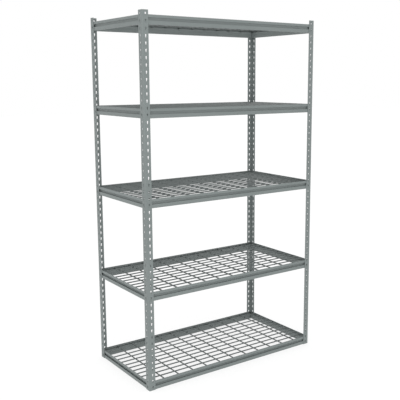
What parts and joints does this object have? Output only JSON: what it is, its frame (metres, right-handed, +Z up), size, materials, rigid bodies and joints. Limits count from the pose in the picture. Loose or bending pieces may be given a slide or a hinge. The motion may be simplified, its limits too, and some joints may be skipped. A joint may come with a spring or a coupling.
{
  "type": "boltless steel shelving",
  "caption": "Free-standing boltless steel storage rack: keyhole angle posts, rivet-hung beams and lift-out welded wire decks.",
  "frame": {"origin": "centre of the footprint at floor level", "axes": "+Z up, +X to the right along the long side, front faces -Y"},
  "size_m": [1.236, 0.629, 2.1336],
  "materials": {
    "post_paint": "satin grey enamel",
    "beam_paint": "satin grey enamel",
    "wire_paint": "satin grey coating"
  },
  "bodies": {
    "frame": {"post_front_left": "post_paint", "post_front_right": "post_paint", "post_rear_left": "post_paint", "post_rear_right": "post_paint", "beam_1_front": "beam_paint", "beam_1_rear": "beam_paint", "beam_1_left": "beam_paint", "beam_1_right": "beam_paint", "beam_2_front": "beam_paint", "beam_2_rear": "beam_paint", "beam_2_left": "beam_paint", "beam_2_right": "beam_paint", "beam_3_front": "beam_paint", "beam_3_rear": "beam_paint", "beam_3_left": "beam_paint", "beam_3_right": "beam_paint", "beam_4_front": "beam_paint", "beam_4_rear": "beam_paint", "beam_4_left": "beam_paint", "beam_4_right": "beam_paint", "beam_5_front": "beam_paint", "beam_5_rear": "beam_paint", "beam_5_left": "beam_paint", "beam_5_right": "beam_paint"},
    "deck_1": {"deck_1": "wire_paint"},
    "deck_2": {"deck_2": "wire_paint"},
    "deck_3": {"deck_3": "wire_paint"},
    "deck_4": {"deck_4": "wire_paint"},
    "deck_5": {"deck_5": "wire_paint"}
  },
  "joints": [
    {"name": "deck_1_lift", "type": "slide", "parent": "frame", "child": "deck_1", "axis": [0, 0, 1], "range_m": [0, 0.15]},
    {"name": "deck_2_lift", "type": "slide", "parent": "frame", "child": "deck_2", "axis": [0, 0, 1], "range_m": [0, 0.15]},
    {"name": "deck_3_lift", "type": "slide", "parent": "frame", "child": "deck_3", "axis": [0, 0, 1], "range_m": [0, 0.15]},
    {"name": "deck_4_lift", "type": "slide", "parent": "frame", "child": "deck_4", "axis": [0, 0, 1], "range_m": [0, 0.15]},
    {"name": "deck_5_lift", "type": "slide", "parent": "frame", "child": "deck_5", "axis": [0, 0, 1], "range_m": [0, 0.15]}
  ]
}
